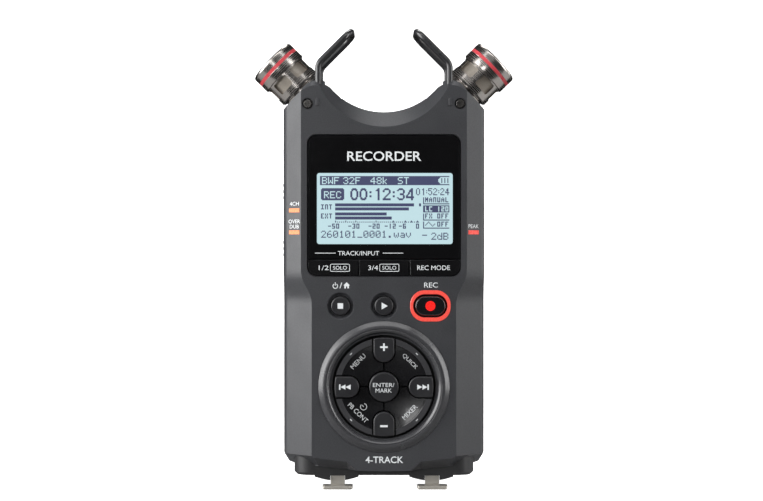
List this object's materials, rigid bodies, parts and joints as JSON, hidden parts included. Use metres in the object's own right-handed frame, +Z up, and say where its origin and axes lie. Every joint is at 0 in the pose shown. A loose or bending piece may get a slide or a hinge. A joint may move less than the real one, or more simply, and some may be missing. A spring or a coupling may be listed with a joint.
{
  "type": "portable field recorder",
  "caption": "Handheld audio recorder with swinging stereo microphone heads under wire guards, display, key row, round keypad and combo jacks in its foot.",
  "frame": {"origin": "centre of the bounding box at its lowest face, on the release latches' plates under the foot", "axes": "+Z up towards the microphones, +Y towards the back, +X to the user's right when the display faces the user"},
  "size_m": [0.0906, 0.0362, 0.1598],
  "materials": {
    "shell_plastic": "fine textured charcoal, satin",
    "end_plastic": "black, satin",
    "window_gloss": "black, polished",
    "lcd_glass": "pale cyan display",
    "circuit_green": "solder mask",
    "mat_rubber": "silicone",
    "bezel_plastic": "satin",
    "key_plastic": "satin black",
    "soft_key_plastic": "gloss black",
    "dish_plastic": "gloss black",
    "red_light": "lit red-orange lens",
    "orange_light": "lit orange lens",
    "dark_chrome": "gunmetal chrome",
    "band_red": "satin red",
    "capsule_mesh": "fine mesh",
    "arm_black": "satin black paint",
    "steel": "bright",
    "black_steel": "black oxide",
    "nickel": "bright nickel",
    "jack_plastic": "black nylon",
    "brass": "turned",
    "cell_wrap": "shrink sleeve",
    "card_plastic": "moulded",
    "switch_plastic": "satin black"
  },
  "bodies": {
    "recorder": {"front_shell": "shell_plastic", "rear_shell": "shell_plastic", "end_block": "end_plastic", "display_window": "window_gloss", "lcd_panel": "lcd_glass", "main_board": "circuit_green", "key_mat": "mat_rubber", "dial_ring": "bezel_plastic", "record_light_ring": "red_light", "guard_arm_left": "arm_black", "guard_arm_right": "arm_black", "pivot_pins": "steel", "front_screws": "black_steel", "rear_screws": "black_steel", "left_lights": "orange_light", "peak_light": "red_light", "card_socket": "steel", "usb_socket": "steel", "phones_jack": "nickel", "remote_jack": "nickel", "combo_jack_left": "jack_plastic", "combo_jack_right": "jack_plastic", "batteries": "cell_wrap", "battery_contacts": "nickel", "speaker": "black_steel", "tripod_insert": "brass"},
    "mic_left": {"mic_cap_left": "dark_chrome", "mic_band_left": "band_red", "mic_cage_left": "dark_chrome", "mic_capsule_left": "capsule_mesh", "mic_neck_left": "dark_chrome"},
    "mic_right": {"mic_cap_right": "dark_chrome", "mic_band_right": "band_red", "mic_cage_right": "dark_chrome", "mic_capsule_right": "capsule_mesh", "mic_neck_right": "dark_chrome"},
    "stop_key_body": {"stop_key": "key_plastic"},
    "play_key_body": {"play_key": "key_plastic"},
    "record_key_body": {"record_key": "dish_plastic"},
    "soft_key_left_body": {"soft_key_left": "soft_key_plastic"},
    "soft_key_middle_body": {"soft_key_middle": "soft_key_plastic"},
    "soft_key_right_body": {"soft_key_right": "soft_key_plastic"},
    "plus_key_body": {"plus_key": "key_plastic"},
    "minus_key_body": {"minus_key": "key_plastic"},
    "previous_key_body": {"previous_key": "key_plastic"},
    "next_key_body": {"next_key": "key_plastic"},
    "enter_key_body": {"enter_key": "key_plastic"},
    "menu_key_body": {"menu_key": "dish_plastic"},
    "quick_key_body": {"quick_key": "dish_plastic"},
    "playback_key_body": {"playback_key": "dish_plastic"},
    "mixer_key_body": {"mixer_key": "dish_plastic"},
    "volume_button_body": {"volume_button": "switch_plastic"},
    "hold_switch_body": {"hold_switch": "switch_plastic"},
    "input_switch_body": {"input_switch": "switch_plastic"},
    "level_rocker_body": {"level_rocker": "switch_plastic"},
    "card_door_body": {"card_door": "switch_plastic"},
    "memory_card_body": {"memory_card": "card_plastic"},
    "battery_door_body": {"battery_door": "shell_plastic"},
    "jack_latch_left_body": {"jack_latch_left": "nickel"},
    "jack_latch_right_body": {"jack_latch_right": "nickel"}
  },
  "joints": [
    {"name": "mic_left_swing", "type": "hinge", "parent": "recorder", "child": "mic_left", "pos_m": [-0.0229, -0.005, 0.1333], "axis": [0, 1, 0], "range_deg": [0, 92]},
    {"name": "mic_right_swing", "type": "hinge", "parent": "recorder", "child": "mic_right", "pos_m": [0.0229, -0.005, 0.1333], "axis": [0, -1, 0], "range_deg": [0, 92]},
    {"name": "stop_key_press", "type": "slide", "parent": "recorder", "child": "stop_key_body", "axis": [0, 1, 0], "range_m": [0, 0.0004], "stiffness_N_per_m": 400, "springref_m": -0.0006},
    {"name": "play_key_press", "type": "slide", "parent": "recorder", "child": "play_key_body", "axis": [0, 1, 0], "range_m": [0, 0.0004], "stiffness_N_per_m": 400, "springref_m": -0.0006},
    {"name": "record_key_press", "type": "slide", "parent": "recorder", "child": "record_key_body", "axis": [0, 1, 0], "range_m": [0, 0.0004], "stiffness_N_per_m": 400, "springref_m": -0.0006},
    {"name": "soft_key_left_press", "type": "slide", "parent": "recorder", "child": "soft_key_left_body", "axis": [0, 1, 0], "range_m": [0, 0.0003], "stiffness_N_per_m": 400, "springref_m": -0.0006},
    {"name": "soft_key_middle_press", "type": "slide", "parent": "recorder", "child": "soft_key_middle_body", "axis": [0, 1, 0], "range_m": [0, 0.0003], "stiffness_N_per_m": 400, "springref_m": -0.0006},
    {"name": "soft_key_right_press", "type": "slide", "parent": "recorder", "child": "soft_key_right_body", "axis": [0, 1, 0], "range_m": [0, 0.0003], "stiffness_N_per_m": 400, "springref_m": -0.0006},
    {"name": "plus_key_press", "type": "slide", "parent": "recorder", "child": "plus_key_body", "axis": [0, 1, 0], "range_m": [0, 0.0004], "stiffness_N_per_m": 400, "springref_m": -0.0006},
    {"name": "minus_key_press", "type": "slide", "parent": "recorder", "child": "minus_key_body", "axis": [0, 1, 0], "range_m": [0, 0.0004], "stiffness_N_per_m": 400, "springref_m": -0.0006},
    {"name": "previous_key_press", "type": "slide", "parent": "recorder", "child": "previous_key_body", "axis": [0, 1, 0], "range_m": [0, 0.0004], "stiffness_N_per_m": 400, "springref_m": -0.0006},
    {"name": "next_key_press", "type": "slide", "parent": "recorder", "child": "next_key_body", "axis": [0, 1, 0], "range_m": [0, 0.0004], "stiffness_N_per_m": 400, "springref_m": -0.0006},
    {"name": "enter_key_press", "type": "slide", "parent": "recorder", "child": "enter_key_body", "axis": [0, 1, 0], "range_m": [0, 0.0004], "stiffness_N_per_m": 400, "springref_m": -0.0006},
    {"name": "menu_key_press", "type": "slide", "parent": "recorder", "child": "menu_key_body", "axis": [0, 1, 0], "range_m": [0, 0.0004], "stiffness_N_per_m": 400, "springref_m": -0.0006},
    {"name": "quick_key_press", "type": "slide", "parent": "recorder", "child": "quick_key_body", "axis": [0, 1, 0], "range_m": [0, 0.0004], "stiffness_N_per_m": 400, "springref_m": -0.0006},
    {"name": "playback_key_press", "type": "slide", "parent": "recorder", "child": "playback_key_body", "axis": [0, 1, 0], "range_m": [0, 0.0004], "stiffness_N_per_m": 400, "springref_m": -0.0006},
    {"name": "mixer_key_press", "type": "slide", "parent": "recorder", "child": "mixer_key_body", "axis": [0, 1, 0], "range_m": [0, 0.0004], "stiffness_N_per_m": 400, "springref_m": -0.0006},
    {"name": "volume_button_press", "type": "slide", "parent": "recorder", "child": "volume_button_body", "axis": [1, 0, 0], "range_m": [0, 0.0004], "stiffness_N_per_m": 400, "springref_m": -0.0006},
    {"name": "hold_switch_slide", "type": "slide", "parent": "recorder", "child": "hold_switch_body", "axis": [0, 0, -1], "range_m": [0, 0.003]},
    {"name": "input_switch_slide", "type": "slide", "parent": "recorder", "child": "input_switch_body", "axis": [0, 0, -1], "range_m": [0, 0.003]},
    {"name": "level_rocker_tilt", "type": "hinge", "parent": "recorder", "child": "level_rocker_body", "pos_m": [0.0332, -0.0008, 0.073], "axis": [0, 1, 0], "range_deg": [-2.5, 2.5], "stiffness_Nm_per_rad": 0.05},
    {"name": "card_door_swing", "type": "hinge", "parent": "recorder", "child": "card_door_body", "pos_m": [0.0342, 0.0005, 0.1036], "axis": [0, 0, 1], "range_deg": [0, 95]},
    {"name": "memory_card_push", "type": "slide", "parent": "recorder", "child": "memory_card_body", "axis": [-1, 0, 0], "range_m": [0, 0.0008], "stiffness_N_per_m": 300, "springref_m": -0.001},
    {"name": "battery_door_lift", "type": "slide", "parent": "recorder", "child": "battery_door_body", "axis": [0, 1, 0], "range_m": [0, 0.02]},
    {"name": "jack_latch_left_press", "type": "slide", "parent": "recorder", "child": "jack_latch_left_body", "axis": [0, 0, 1], "range_m": [0, 0.0008], "stiffness_N_per_m": 1500, "springref_m": -0.002},
    {"name": "jack_latch_right_press", "type": "slide", "parent": "recorder", "child": "jack_latch_right_body", "axis": [0, 0, 1], "range_m": [0, 0.0008], "stiffness_N_per_m": 1500, "springref_m": -0.002}
  ]
}
